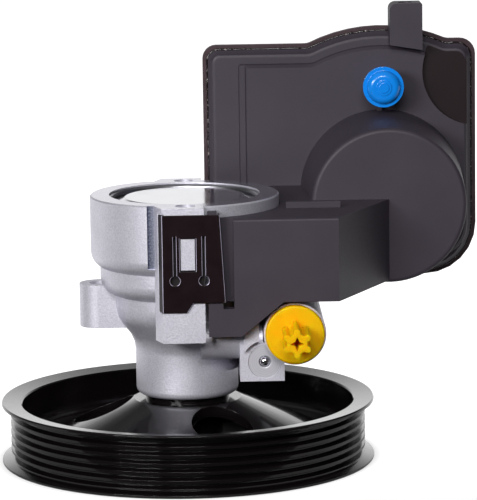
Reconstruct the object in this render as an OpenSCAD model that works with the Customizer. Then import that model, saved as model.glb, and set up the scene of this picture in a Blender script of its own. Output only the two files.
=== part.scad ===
// Vane-type power steering pump with its ribbed belt pulley and a clipped-on fluid reservoir.
// Z runs along the drive shaft, X towards the reservoir, Y away from the outlet.
// The pulley's lower face is at Z = 0.

/* [Pulley] */
// Outside diameter over the flanges
pulley_d = 160; // [150:1:176]
// Width over the flanges
pulley_w = 26.4; // [25.5:0.1:32]
// Number of belt grooves
groove_count = 6; // [3:1:6]
// Spacing of the belt grooves
groove_pitch = 3.56; // [3.2:0.02:3.7]
// Depth of a belt groove
groove_depth = 2.5; // [1.8:0.1:3]
// Height of the flanges over the groove crests
flange_h = 3.8; // [2:0.1:5]
// Thickness of a flange at its edge
flange_t = 1.2; // [0.8:0.1:2]
// Dip of the upper flange from its outer to its inner edge
flange_dip = 1; // [0:0.1:1.5]
// Wall inside the groove bottoms
rim_wall = 2.6; // [2:0.1:4]
// Height of the web's upper face at the rim
web_rim_z = 6.5; // [5.5:0.1:9]
// Vertical thickness of the web
web_t = 4.6; // [3.5:0.1:5.2]
// Diameter of the access holes in the web
access_d = 26; // [18:1:28]
// Distance of the access holes from the shaft
access_r = 36.5; // [35.5:0.1:38]
// Number of access holes
access_count = 3; // [3:1:4]
// Diameter of the hub collar
collar_d = 36; // [34:1:40]
// Height of the collar over the rim
collar_h = 1.8; // [1.2:0.1:3]
// Outside diameter of the hub under the web
hub_d = 30; // [26:1:34]

/* [Drive shaft] */
// Diameter of the shaft
shaft_d = 16; // [15:0.5:17]
// Outside diameter of the spline in the rotor
spline_d = 15; // [13:0.5:15]
// Number of spline teeth
spline_teeth = 16; // [10:1:20]

/* [Housing] */
// Diameter of the neck over the pulley
neck_d = 43.8; // [41:0.2:47]
// Height of the straight part of the neck
neck_h = 18.9; // [16:0.1:22]
// How far the sweep from the neck to the shoulder runs out
sweep_out = 9.1; // [8:0.1:9.6]
// Height of that sweep
sweep_h = 21; // [18:0.5:24]
// Height of the middle step over the middle of the sweep
shoulder_h = 14.5; // [13:0.5:16]
// Step from the middle to the main body, all round
mid_step = 3.9; // [3:0.1:5]
// Height of the middle step
mid_h = 12; // [10:0.5:13.5]
// Diameter of the main body
body_d = 80.6; // [80:0.2:84]
// Height of the main body
body_h = 30.2; // [29:0.2:34]
// Diameter of the bolt holes
bolt_d = 8.4; // [6.4:0.2:8.6]
// Width of the bolt columns
column_w = 17.6; // [16.4:0.2:18.4]
// How far the columns' outer faces stand out of the main body
column_proud = 4.7; // [4:0.1:6]
// Wall between a bolt hole and the column's outer face
column_wall = 3.2; // [2.6:0.1:4]
// Distance of the ear's bolt hole from the middle step's side
ear_out = 0.6; // [0:0.1:1.5]
// Height of the ear
ear_h = 18.4; // [16:0.2:20]

/* [Vane cartridge] */
// Diameter of the cartridge bore
cartridge_d = 58; // [57:0.5:60]
// Thickness of the thrust plate
thrust_t = 5; // [4:0.5:6]
// Thickness of the cam ring and the rotor
cam_t = 16; // [14:0.5:17]
// Room for the fluid round the cam ring
cam_room = 1.5; // [1:0.1:2]
// Wall of the cam ring at its widest
cam_wall = 8.1; // [7.6:0.1:8.6]
// Rise of the cam track at its two lobes
cam_rise = 2.2; // [1.5:0.1:2.8]
// Number of vanes
vane_count = 10; // [8:1:12]
// Wall of the rotor between its spline and the vanes
rotor_web = 3.5; // [3.2:0.1:4.2]
// Thickness of a vane
vane_t = 1.8; // [1.2:0.1:2.2]
// Thickness of the pressure plate
plate_t = 6.5; // [6:0.5:7.5]
// Room for the pressure spring
spring_gap = 3.6; // [3.4:0.1:4.4]

/* [End cover] */
// Diameter of the cover's bore in the housing
cover_d = 64.2; // [63:0.2:66]
// Thickness of the cover's edge
cover_t = 5; // [4.5:0.5:6]
// Diameter of the raised middle of the cover
cover_disc_d = 52; // [44:1:54]
// Height of the raised middle
cover_rise = 2; // [1:0.1:2.4]
// Wire diameter of the cover's retaining ring
ring_wire = 2.2; // [1.8:0.1:2.4]

/* [Flow valve] */
// Distance of the valve's axis from the shaft
valve_x = 45; // [44.5:0.1:46.5]
// Height of the valve's axis over the shoulder
valve_rise = 2.3; // [1.6:0.1:3]
// Diameter of the valve boss
valve_boss_d = 26.2; // [25:0.2:26.4]
// Diameter of the valve bore
valve_bore_d = 18; // [16:0.5:18.5]
// Length of the spool
spool_len = 22; // [18:0.5:22]
// Travel of the spool against its spring
spool_travel = 6; // [4:0.5:6]

/* [Retaining clips] */
// Sheet thickness
clip_t = 1; // [0.8:0.1:1.2]
// Height of the clip
clip_h = 41; // [38:0.5:42]
// Taper of the clip's rail from top to bottom
clip_taper = 2.3; // [1:0.1:3]

/* [Reservoir] */
// Wall thickness
wall = 2.6; // [2:0.1:2.8]
// Left side of the tank
tank_x = 9.3; // [7:0.1:10]
// Width of the tank over its seam
tank_w = 120.5; // [118:0.1:124]
// Height of the tank's left shoulder over the housing's top
tank_rise = 57.1; // [56:0.1:60]
// Height of the tank over its seam at the shoulders
tank_h = 103.9; // [101:0.1:107]
// Distance of the weld seam behind the rear column
seam_back = 14; // [13.5:0.1:17]
// Depth of the rear shell
rear_depth = 39; // [34:0.5:44]
// Distance of the sump's axis from the shaft
sump_x = 87.7; // [86:0.1:89]
// Drop of the sump's axis below the housing's top
sump_drop = 7.8; // [6.5:0.1:9]
// Diameter of the sump
sump_d = 67; // [64:0.5:69]
// Length of the sump in front of the panel
sump_len = 46; // [42:0.5:48]
// Height of the tank's crest over its left shoulder
crest_rise = 7.5; // [6:0.1:10]
// Height of the duct block
duct_h = 35.2; // [33:0.1:37]
// Diameter of the filler neck
filler_d = 38; // [34:0.5:40]
// Height of the filler neck
filler_h = 13; // [12:0.5:16]

/* [Hidden] */
$fn = 96;

// Clearances
press_gap = 0.02;
running_gap = 0.04;
seat_gap = 0.1;
side_gap = 0.4;

// How far a cutting shape runs past the faces that it cuts
over = 1;

// Colours
cast_grey = [0.78, 0.78, 0.8];
steel_grey = [0.62, 0.62, 0.64];
bright_grey = [0.85, 0.85, 0.87];
gloss_black = [0.06, 0.05, 0.06];
nylon_black = [0.24, 0.22, 0.25];
rubber_black = [0.1, 0.1, 0.1];

// Heights along the shaft, from the pulley up
collar_z = pulley_w + collar_h;
neck_z = collar_z + side_gap;
sweep_z = neck_z + neck_h;
shoulder_z = sweep_z + sweep_h / 2;
ear_z = shoulder_z + 0.3;
mid_z = shoulder_z + shoulder_h;
body_z = mid_z + mid_h;
top_z = body_z + body_h;
ring_recess = 0.9;
ring_z = top_z - ring_recess - ring_wire / 2;
cover_top_z = ring_z - ring_wire / 2 - press_gap;
cover_z = cover_top_z - cover_t;
plate_top_z = cover_z - spring_gap;
plate_z = plate_top_z - plate_t;
cam_z = plate_z - cam_t;
bore_z = cam_z - thrust_t;
rotor_t = cam_t - 2 * seat_gap;
rotor_z = cam_z + seat_gap;
cover_bore_z = plate_top_z;
inlet_z = cam_z + cam_t / 2;

// Distances of the housing's sides from the shaft
body_r = body_d / 2;
mid_r = body_r - mid_step;
column_y = body_r + column_proud;
bolt_r = column_y - column_wall - bolt_d / 2;
ear_x = mid_r + ear_out;

// Shaft and its bearings
shaft_r = shaft_d / 2;
hub_z = 6;
bush_wall = 2.5;
bush_len = 20;
seal_in = 1;
seal_len = 7;
seal_wall = 6;
snap_t = 1.2;
snap_w = 2.4;
snap_groove_r = spline_d / 2 - 2;
snap_z = rotor_z + rotor_t + press_gap;
shaft_end = 1.2;
shaft_top_z = snap_z + snap_t + shaft_end;
dowel_d = 3.5;
cam_d = cartridge_d - 2 * cam_room;
cam_min_r = cam_d / 2 - cam_wall;
rotor_gap = 0.4;
rotor_d = 2 * (cam_min_r - rotor_gap);
vane_h = rotor_d / 2 - spline_d / 2 - rotor_web;
dowel_r = (cam_min_r + cam_d / 2) / 2;
dowel_depth = 4;
dowel_end = 2;

// Flow valve, lying along Y
valve_z = shoulder_z + valve_rise;
valve_front_y = -40;
valve_wall = 6;
fitting_len = 18;
fitting_wall = 3.4;
spool_socket = 2;
spool_y = valve_front_y + fitting_len + side_gap;
spring_y = spool_y + spool_len - spool_socket;
valve_wire = 1.4;
valve_turns = 4;
spring_len = spool_socket + spool_travel + valve_turns * valve_wire;
valve_bore_y = spring_y + spring_len;
valve_back_y = valve_bore_y + valve_wall;

// Drilled passage under the valve, lying along Y
passage_in = 12.6;
passage_drop = 12.65;
passage_back = 5;
passage_x = valve_x - passage_in;
passage_z = valve_z - passage_drop;
passage_front_y = valve_front_y + passage_back;
passage_d = 14;
passage_recess = 0.4;
passage_plug_t = 4.5;
ball_d = 4.8;
ball_proud = 1;

// Clip plates and the rails that they grip, mirrored about the shaft
column_out = 1.1;
column_left_x = -column_w / 2 - column_out;
column_right_x = column_left_x + column_w;
column_splay = tan(20);
rail_gap = 1.4;
rail_x = column_right_x + rail_gap;
rail_w = 3.9;
clip_drop = 2.7;
clip_top_z = top_z - clip_drop;
clip_z = clip_top_z - clip_h;
clip_plate_y = column_y + seat_gap;
slit_left = 4.7;
slit_right = 7.3;
slit_rise = 13.5;
slit_z = clip_z + slit_rise;
slit_len = 18.5;
slit_end_r = 2.1;
window_x = -2.6;
window_rise = 3.9;
window_z = slit_z + window_rise;
window_w = 6.7;
window_h = 13.9;
rail_slot_w = 10.7;
rail_slot_x = rail_x + rail_slot_w;
rail_slot_depth = 5.2;

// Tank outline and the reservoir's levels along Y
tank_right_x = tank_x + tank_w;
tank_top_z = top_z + tank_rise;
tank_z = tank_top_z - tank_h;
sump_z = top_z - sump_drop;
crest_r = tank_top_z - sump_z + crest_rise;
shoulder_rise = 1.4;
crest_blend = 8;
left_round = 6;
right_round = 7;
low_round = 10;
low_right_round = 23;
least_round = 1;
lip_w = 2.2;
lip_t = 1.9;
lip_edge = 0.4;
lip_foot = 0.8;
lip_in = 2.4;
seam_w = 3.6;
band_step = 5;
panel_step = 3;
panel_left = 19;
panel_right = 4.6;
panel_inset = 8.6;
seam_y = column_y + seam_back;
band_y = seam_y - band_step;
panel_y = band_y - panel_step;
panel_x = tank_x + panel_left;
panel_right_x = tank_right_x - panel_right;
rear_y = seam_y + rear_depth;
sump_front_y = panel_y - sump_len;
saddle_r = body_r + side_gap;
valve_room = 1.2;
duct_z = valve_z + valve_boss_d / 2 + valve_room;
duct_top_z = duct_z + duct_h;
duct_right = 18.4;
duct_right_x = valve_x + duct_right;
duct_back_y = band_y + over;
stub_rise = 14;
stub_x = sump_x;
stub_z = sump_z + sump_d / 2 + stub_rise;
stub_d = 11;
stub_bore = 7;
stub_len = 15;
inlet_d = 22;
inlet_bore = 14;
spigot_len = 6.6;
inlet_tip_x = saddle_r - spigot_len;
o_ring = 1.6;
seal_inset = 2;
filler_in = 48.7;
filler_drop = 33.8;
filler_x = tank_x + filler_in;
filler_z = tank_top_z - filler_drop;
filler_r = filler_d / 2;
filler_top_y = rear_y + filler_h;
lug_h = 1.2;
lug_t = 2;
lug_rise = 5;
lug_y = rear_y + lug_rise;
cap_seal_t = 1.4;

// Shared shapes

function unit(v) = v / norm(v);

// Points of a round of radius r at corner b between the straight runs to a and c
function corner(a, b, c, r, n) =
    let (u = unit(a - b), v = unit(c - b), half = acos(u * v) / 2,
         m = b + unit(u + v) * r / sin(half),
         s = b + u * r / tan(half) - m, e = b + v * r / tan(half) - m,
         s_a = atan2(s[1], s[0]), turn = atan2(s[0] * e[1] - s[1] * e[0], s * e))
    [for (i = [0:n]) m + r * [cos(s_a + turn * i / n), sin(s_a + turn * i / n)]];

// A closed path of [x, y, radius] corners, with each corner rounded
function rounded(path, n = 6) =
    let (k = len(path), at = function (i) [path[(i + k) % k][0], path[(i + k) % k][1]])
    [for (i = [0:k - 1]) each path[i][2] > 0
        ? corner(at(i - 1), at(i), at(i + 1), path[i][2], n) : [at(i)]];

function arc(centre, r, from, to, n) =
    [for (i = [0:n]) let (a = from + (to - from) * i / n) centre + r * [cos(a), sin(a)]];

module along_y(x, z, y = 0) {
    translate([x, y, z]) rotate([-90, 0, 0]) children();
}

// A drawing in X and Z, given depth along Y
module xz_sheet(y, depth) {
    translate([0, y + depth, 0]) rotate([90, 0, 0]) linear_extrude(depth) children();
}

module tube(outer_r, inner_r, h) {
    difference() {
        cylinder(r = outer_r, h = h);
        translate([0, 0, -over]) cylinder(r = inner_r, h = h + 2 * over);
    }
}

module o_ring(ring_r, section_d) {
    rotate_extrude() translate([ring_r, 0]) circle(d = section_d, $fn = 32);
}

// A round-wire coil standing on Z = 0, with h over its end turns
module coil(coil_r, wire_d, h, turns) {
    sides = 8;
    steps_a_turn = 20;
    steps = turns * steps_a_turn;
    rise = h - wire_d;
    points = [for (i = [0:steps], j = [0:sides - 1])
        let (a = 360 * turns * i / steps, b = 360 * j / sides, r = coil_r + wire_d / 2 * cos(b))
        [r * cos(a), r * sin(a), wire_d / 2 + rise * i / steps + wire_d / 2 * sin(b)]];
    sides_faces = [for (i = [0:steps - 1], j = [0:sides - 1])
        let (k = (j + 1) % sides)
        [i * sides + j, i * sides + k, (i + 1) * sides + k, (i + 1) * sides + j]];
    polyhedron(points, concat(
        sides_faces,
        [[for (j = [sides - 1:-1:0]) j]],
        [[for (j = [0:sides - 1]) steps * sides + j]]));
}

module at_dowels() {
    for (side = [-1, 1]) translate([0, side * dowel_r, 0]) children();
}

// Kidney-shaped ports through a plate, two pairs on the rotor's port circle
module kidney_ports(h) {
    port_angle = 44;
    port_w = 4;
    port_r = rotor_d / 2 - port_w - 2;
    for (i = [0:3]) rotate(90 * i + 45 - port_angle / 2)
        rotate_extrude(angle = port_angle) translate([port_r, -over]) square([port_w, h + 2 * over]);
}

// Pump housing

module housing_revolve() {
    neck_r = neck_d / 2;
    shoulder_r = neck_r + sweep_out;
    sweep_r = (sweep_h * sweep_h + sweep_out * sweep_out) / (4 * sweep_out);
    sweep_angle = 2 * atan(sweep_out / sweep_h);
    sweep_steps = 3;
    next_angle = sweep_angle * (1 - 1 / sweep_steps);
    neck_round = 3;
    step_round = 7;
    rim_chamfer = 0.6;
    rotate_extrude() polygon(concat(
        [[0, neck_z]],
        arc([neck_r - neck_round, neck_z + neck_round], neck_round, -90, 0, 4),
        arc([neck_r + sweep_r, sweep_z], sweep_r, 180, 180 - sweep_angle, sweep_steps),
        arc([shoulder_r - sweep_r, sweep_z + sweep_h], sweep_r, -next_angle, 0, sweep_steps - 1),
        step_arc(shoulder_r, mid_r, mid_z, step_round),
        step_arc(mid_r, body_r, body_z, step_round),
        [[body_r, top_z - rim_chamfer], [body_r - rim_chamfer, top_z], [0, top_z]]));
}

// The rounded underside of a step from radius inner_r out to outer_r, starting at height z
function step_arc(inner_r, outer_r, z, r) =
    let (from = -acos((inner_r - outer_r + r) / r))
    arc([outer_r - r, z - r * sin(from)], r, from, 0, 6);

// A column with the seat for the clip's flange and the hollow behind the clip's slits
module bolt_column(side) {
    column_z = shoulder_z;
    root = 25;
    splay_depth = 8.7;
    seat_depth = 4.8;
    left = function (y) column_left_x - column_splay * (column_y - y);
    hollow_depth = 1.6;
    hollow_x = -slit_left - slit_end_r - side_gap;
    hollow_z = slit_z - slit_end_r - side_gap;
    hollow_w = column_right_x + over - hollow_x;
    hollow_h = slit_z + slit_len + side_gap - hollow_z;
    mirror([0, side > 0 ? 0 : 1, 0]) difference() {
        translate([0, 0, column_z]) linear_extrude(top_z - column_z) polygon([
            [column_left_x, column_y], [left(column_y - splay_depth), column_y - splay_depth],
            [column_left_x, column_y - root], [column_right_x, column_y - root],
            [column_right_x, column_y]]);
        translate([0, 0, clip_z - side_gap]) linear_extrude(clip_h + 2 * side_gap) polygon([
            [left(column_y + over) + clip_t, column_y + over],
            [left(column_y - root), column_y + over], [left(column_y - root), column_y - seat_depth],
            [left(column_y - seat_depth) + clip_t, column_y - seat_depth]]);
        difference() {
            translate([hollow_x, column_y - hollow_depth, hollow_z])
                cube([hollow_w, hollow_depth + over, hollow_h]);
            translate([window_x + side_gap, column_y - hollow_depth - over, window_z + side_gap])
                cube([window_w - 2 * side_gap, hollow_depth + 3 * over, window_h - 2 * side_gap]);
        }
    }
}

module mounting_ear() {
    ear_r = 8.5;
    root_x = 20;
    translate([0, 0, ear_z]) {
        translate([-ear_x, 0, 0]) cylinder(r = ear_r, h = ear_h);
        translate([-ear_x, -ear_r, 0]) cube([ear_x - root_x, 2 * ear_r, ear_h]);
    }
}

// The valve boss, the block under it with the drilled passage, the web over its spot face, the rounded
// arm from the column and the link to the neck
module valve_block() {
    link_x = 14;
    link_y = -2;
    arm_r = 8.2;
    arm_len = 26;
    arm_drop = 2;
    arm_back = 0.6;
    passage_wall = 1.25;
    block_r = passage_d / 2 + passage_wall;
    block_left = 10.4;
    block_x = passage_x - block_left;
    block_back_y = 12;
    block_depth = block_back_y - passage_front_y;
    block_z = passage_z - block_r;
    web_in = 8.6;
    web_w = 6.2;
    web_rise = 5;
    web_h = 13;
    web_proud = 3;
    spot_r = 9.6;
    along_y(valve_x, valve_z, valve_front_y)
        cylinder(d = valve_boss_d, h = valve_back_y - valve_front_y);
    translate([block_x, passage_front_y, block_z]) cube([block_left + block_r, block_depth, 2 * block_r]);
    translate([link_x, link_y, block_z])
        cube([passage_x + block_r - link_x, block_back_y - link_y, valve_z + block_r - block_z]);
    difference() {
        translate([passage_x - web_in, passage_front_y - web_proud, passage_z + web_rise])
            cube([web_w, block_depth, web_h]);
        along_y(passage_x, passage_z, passage_front_y - web_proud - over)
            cylinder(r = spot_r, h = web_proud + over);
    }
    translate([column_right_x - 2, passage_front_y + arm_back + arm_r, shoulder_z - arm_drop])
        rotate([0, 90, 0]) cylinder(r = arm_r, h = arm_len);
}

module housing_bores() {
    shaft_room = 1.2;
    groove_room = 0.2;
    passage_depth = 36;
    port_x = cartridge_d / 2 - 4;
    translate([0, 0, bore_z]) cylinder(d = cartridge_d, h = body_h + mid_h);
    translate([0, 0, cover_bore_z]) cylinder(d = cover_d, h = body_h);
    translate([0, 0, ring_z - ring_wire / 2 - groove_room])
        cylinder(d = cover_d + ring_wire, h = ring_wire + 2 * groove_room);
    translate([0, 0, neck_z - over]) cylinder(r = shaft_r + shaft_room, h = top_z - neck_z);
    translate([0, 0, bore_z - bush_len]) cylinder(r = shaft_r + bush_wall, h = bush_len + over);
    translate([0, 0, neck_z - over]) cylinder(r = shaft_r + seal_wall, h = seal_in + seal_len + over);
    at_dowels() translate([0, 0, bore_z - dowel_depth]) cylinder(d = dowel_d, h = dowel_depth + over);
    for (side = [-1, 1]) translate([0, side * bolt_r, 0]) cylinder(d = bolt_d, h = top_z + over);
    translate([-ear_x, 0, ear_z - over]) cylinder(d = bolt_d, h = ear_h + over);
    along_y(valve_x, valve_z, valve_front_y - over)
        cylinder(d = valve_bore_d, h = valve_bore_y - valve_front_y + over);
    along_y(passage_x, passage_z, passage_front_y - over)
        cylinder(d = passage_d, h = passage_recess + passage_plug_t + 2 * over);
    along_y(passage_x, passage_z, passage_front_y) cylinder(d = passage_d / 2, h = passage_depth);
    translate([port_x, 0, inlet_z]) rotate([0, 90, 0]) cylinder(d = inlet_d, h = body_r);
}

// The machined flats beside the columns, where the clips slide down
module clip_flats() {
    flat_w = 6.1;
    flat_in = 4.3;
    flat_rise = 17;
    flat_y = body_r - flat_in;
    flat_z = clip_z + flat_rise;
    for (side = [-1, 1]) mirror([0, side > 0 ? 0 : 1, 0])
        translate([column_left_x - flat_w, flat_y, flat_z]) cube([flat_w, body_r, top_z]);
}

module pump_housing() {
    color(cast_grey) difference() {
        union() {
            difference() {
                housing_revolve();
                clip_flats();
            }
            bolt_column(-1);
            bolt_column(1);
            mounting_ear();
            valve_block();
        }
        housing_bores();
    }
}

// Shaft bearing and seal

module shaft_bush() {
    color(steel_grey) translate([0, 0, bore_z - bush_len])
        tube(shaft_r + bush_wall - press_gap, shaft_r + running_gap, bush_len - side_gap);
}

module shaft_seal() {
    lip = 2;
    case_r = shaft_r + seal_wall - press_gap;
    lip_r = shaft_r + running_gap;
    color(rubber_black) translate([0, 0, neck_z + seal_in]) rotate_extrude() polygon([
        [case_r, 0], [case_r, seal_len], [case_r - lip, seal_len], [case_r - lip, lip],
        [lip_r + lip, lip], [lip_r + lip, seal_len - lip], [lip_r, seal_len - lip],
        [lip_r, lip], [lip_r + lip / 2, 0]
    ]);
}

// Vane cartridge, from the bottom of the bore up

module thrust_plate() {
    shaft_room = 1;
    color(steel_grey) translate([0, 0, bore_z]) difference() {
        cylinder(d = cartridge_d - 2 * seat_gap, h = thrust_t);
        translate([0, 0, -over]) cylinder(r = shaft_r + shaft_room, h = thrust_t + 2 * over);
        at_dowels() translate([0, 0, -over]) cylinder(d = dowel_d, h = thrust_t + 2 * over);
        kidney_ports(thrust_t);
    }
}

module cam_ring() {
    color(steel_grey) translate([0, 0, cam_z]) difference() {
        cylinder(d = cam_d, h = cam_t);
        translate([0, 0, -over]) linear_extrude(cam_t + 2 * over)
            polygon([for (a = [0:5:355])
                (cam_min_r + cam_rise * (1 + cos(2 * a)) / 2) * [cos(a), sin(a)]]);
        at_dowels() translate([0, 0, -over]) cylinder(d = dowel_d, h = cam_t + 2 * over);
    }
}

module dowel_pins() {
    color(bright_grey) at_dowels() translate([0, 0, bore_z - dowel_depth])
        cylinder(d = dowel_d - 2 * press_gap, h = dowel_depth + thrust_t + cam_t + plate_t - dowel_end);
}

module pressure_plate() {
    plate_r = cartridge_d / 2 - seat_gap;
    shaft_room = 2;
    color(steel_grey) translate([0, 0, plate_z]) difference() {
        cylinder(r = plate_r, h = plate_t);
        translate([0, 0, -over]) cylinder(r = shaft_r + shaft_room, h = shaft_top_z - plate_z + 2 * over);
        at_dowels() translate([0, 0, -over]) cylinder(d = dowel_d, h = plate_t - dowel_end + 2 * over);
        kidney_ports(plate_t);
        translate([0, 0, plate_t / 2 - o_ring / 2]) tube(plate_r + over, plate_r - o_ring, o_ring);
    }
}

module plate_seal() {
    section = o_ring - 2 * press_gap;
    color(rubber_black) translate([0, 0, plate_z + plate_t / 2])
        o_ring(cartridge_d / 2 - press_gap - section / 2, section);
}

module pressure_spring() {
    wire = 1.2;
    turns = 1.5;
    shaft_room = 3;
    coil_r = shaft_r + shaft_room;
    color(steel_grey) translate([0, 0, plate_top_z]) coil(coil_r, wire, spring_gap, turns);
}

// End cover

module end_cover() {
    edge_r = cover_d / 2 - seat_gap;
    disc_r = cover_disc_d / 2;
    disc_z = cover_t + cover_rise;
    chamfer = 0.5;
    color(bright_grey) difference() {
        translate([0, 0, cover_z]) rotate_extrude() polygon([
            [0, 0], [edge_r, 0], [edge_r, cover_t], [edge_r - ring_wire, cover_t],
            [disc_r, disc_z - chamfer], [disc_r - chamfer, disc_z], [0, disc_z]
        ]);
        translate([0, 0, cover_z + cover_t / 2 - o_ring / 2]) tube(edge_r + over, edge_r - o_ring, o_ring);
    }
}

module cover_seal() {
    section = o_ring - 2 * press_gap;
    color(rubber_black) translate([0, 0, cover_z + cover_t / 2])
        o_ring(cover_d / 2 - press_gap - section / 2, section);
}

// A round-wire ring, open at the side where it is pushed out
module cover_ring() {
    open_angle = 12;
    open_side = 200;
    color(steel_grey) translate([0, 0, ring_z]) rotate(open_side) rotate_extrude(angle = 360 - open_angle)
        translate([cover_d / 2, 0]) circle(d = ring_wire - 2 * press_gap, $fn = 32);
}

// Drilled passage's expander plug and its ball

module passage_plug() {
    color(bright_grey) along_y(passage_x, passage_z, passage_front_y + passage_recess)
        tube(passage_d / 2 - press_gap, ball_d / 2 + press_gap, passage_plug_t);
}

module passage_ball() {
    ball_y = passage_front_y + passage_recess + ball_d / 2 - ball_proud;
    color(steel_grey) translate([passage_x, ball_y, passage_z]) sphere(d = ball_d);
}

// Flow control valve and the outlet

module valve_spool() {
    land = 6;
    chamfer = 1;
    spool_r = valve_bore_d / 2 - running_gap;
    waist_r = spool_r - 2.4;
    socket_r = spool_r - 2;
    color(steel_grey) along_y(valve_x, valve_z, spool_y) rotate_extrude() polygon([
        [0, 0], [spool_r - chamfer, 0], [spool_r, chamfer], [spool_r, land], [waist_r, land],
        [waist_r, spool_len - land], [spool_r, spool_len - land], [spool_r, spool_len],
        [socket_r, spool_len], [socket_r, spool_len - spool_socket], [0, spool_len - spool_socket]
    ]);
}

module valve_spring() {
    coil_r = valve_bore_d / 2 - 3.6;
    color(steel_grey) along_y(valve_x, valve_z, spring_y) coil(coil_r, valve_wire, spring_len, valve_turns);
}

module outlet_fitting() {
    fitting_r = valve_bore_d / 2 - seat_gap;
    bore_r = fitting_r - fitting_wall;
    color(bright_grey) along_y(valve_x, valve_z, valve_front_y) difference() {
        tube(fitting_r, bore_r, fitting_len);
        translate([0, 0, fitting_len / 2]) tube(fitting_r + over, fitting_r - o_ring, o_ring);
    }
}

module fitting_seal() {
    section = o_ring - 2 * press_gap;
    color(rubber_black) along_y(valve_x, valve_z, valve_front_y + fitting_len / 2 + o_ring / 2)
        o_ring(valve_bore_d / 2 - press_gap - section / 2, section);
}

// Moulded transport plug: a stem in the fitting, a round flange and a ribbed grip with a hollow end
module outlet_plug() {
    stem_r = valve_bore_d / 2 - seat_gap - fitting_wall - press_gap;
    stem_len = 12;
    plug_head_r = valve_boss_d / 2 - 0.7;
    plug_head_t = 3;
    grip_len = 20;
    grip_r = 6.2;
    core_r = 4.2;
    rib_w = 2.6;
    rib_count = 6;
    star_r = 3;
    star_in_r = 1.3;
    edge_round = 1;
    color([1, 0.7, 0]) along_y(valve_x, valve_z, valve_front_y - plug_head_t) {
        rotate_extrude() polygon(concat(
            [[0, 0]], arc([plug_head_r - edge_round, edge_round], edge_round, -90, 0, 5),
            [[plug_head_r, plug_head_t], [stem_r, plug_head_t],
             [stem_r, plug_head_t + stem_len], [0, plug_head_t + stem_len]]));
        translate([0, 0, -grip_len]) difference() {
            union() {
                cylinder(r = core_r, h = grip_len);
                for (i = [0:rib_count - 1]) rotate(360 * i / rib_count + 30) {
                    translate([0, -rib_w / 2, 0]) cube([grip_r - rib_w / 2, rib_w, grip_len]);
                    translate([grip_r - rib_w / 2, 0, 0]) cylinder(d = rib_w, h = grip_len, $fn = 24);
                }
            }
            translate([0, 0, -over]) linear_extrude(grip_len) polygon([for (i = [0:7])
                (i % 2 == 0 ? star_r : star_in_r) * [cos(45 * i), sin(45 * i)]]);
        }
    }
}

// Reservoir

// Tank outline moved in by d, between sides left and right: two shoulders and a crest about the sump
function tank_outline(d, left, right) =
    let (top = tank_top_z - d, right_top = top + shoulder_rise, low = tank_z + d, crest = crest_r - d,
         lean = asin((top - sump_z) / crest), right_lean = asin((right_top - sump_z) / crest),
         sweep = 180 - lean - right_lean)
    rounded(concat(
        [[left, low, low_round - d / 2], [left, top, max(least_round, left_round - 0.6 * d)],
         [sump_x - crest * cos(lean), top, crest_blend]],
        [for (i = [1:9]) let (a = 180 - lean - sweep * i / 10)
            [sump_x + crest * cos(a), sump_z + crest * sin(a), 0]],
        [[sump_x + crest * cos(right_lean), right_top, crest_blend],
         [right, right_top, max(least_round, right_round - 0.6 * d)], [right, low, low_right_round - d]]));

// Solid through the tank outline at each [y, inset, left side, right side] level, in order of rising y
module tank_loft(levels) {
    rings = [for (l = levels) tank_outline(l[1], l[2], l[3])];
    n = len(rings[0]);
    last = (len(levels) - 1) * n;
    points = [for (i = [0:len(levels) - 1], p = rings[i]) [p[0], levels[i][0], p[1]]];
    polyhedron(points, concat(
        [for (i = [0:len(levels) - 2], j = [0:n - 1])
            let (k = (j + 1) % n) [i * n + j, (i + 1) * n + j, (i + 1) * n + k, i * n + k]],
        [[for (j = [0:n - 1]) j]],
        [[for (j = [n - 1:-1:0]) last + j]]));
}

function full_level(y, d) = [y, d, tank_x + d, tank_right_x - d];

// Plan of the duct block that wraps the pump's right side
module duct_plan() {
    polygon([
        [rail_x, -column_y], [duct_right_x, -column_y], [sump_x, sump_front_y], [sump_x, duct_back_y],
        [rail_slot_x, duct_back_y], [rail_slot_x, column_y], [rail_x, column_y]
    ]);
}

// Side section of the duct block, with its front edges rounded
module duct_section() {
    top_round = 1;
    under_round = 0.4;
    rotate([90, 0, 90]) linear_extrude(tank_right_x) polygon(rounded([
        [-column_y, duct_z, under_round], [duct_back_y, duct_z, 0],
        [duct_back_y, duct_top_z, 0], [-column_y, duct_top_z, top_round]]));
}

function rail_edge(z) = rail_x + rail_w + clip_taper * (clip_top_z - z) / clip_h;

// Slot beside a rail for the clip's inner flange
module rail_slot(side) {
    low = clip_z + 1.2;
    high = top_z + over;
    mirror([0, side > 0 ? 0 : 1, 0]) xz_sheet(column_y - rail_slot_depth, rail_slot_depth + over)
        polygon([[rail_edge(low), low], [rail_slot_x, low], [rail_slot_x, high], [rail_edge(high), high]]);
}

// The tongue under the block's front corner that reaches down beside the column
module duct_tongue() {
    tongue_rise = 2.5;
    tongue_z = shoulder_z + tongue_rise;
    tongue_t = 5;
    tongue_w = 13.7;
    root_w = 31;
    xz_sheet(-column_y, tongue_t) polygon([
        [rail_x, tongue_z], [rail_x + tongue_w, tongue_z], [rail_x + root_w, duct_z],
        [rail_x + root_w, duct_z + over], [rail_x, duct_z + over]
    ]);
}

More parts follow.
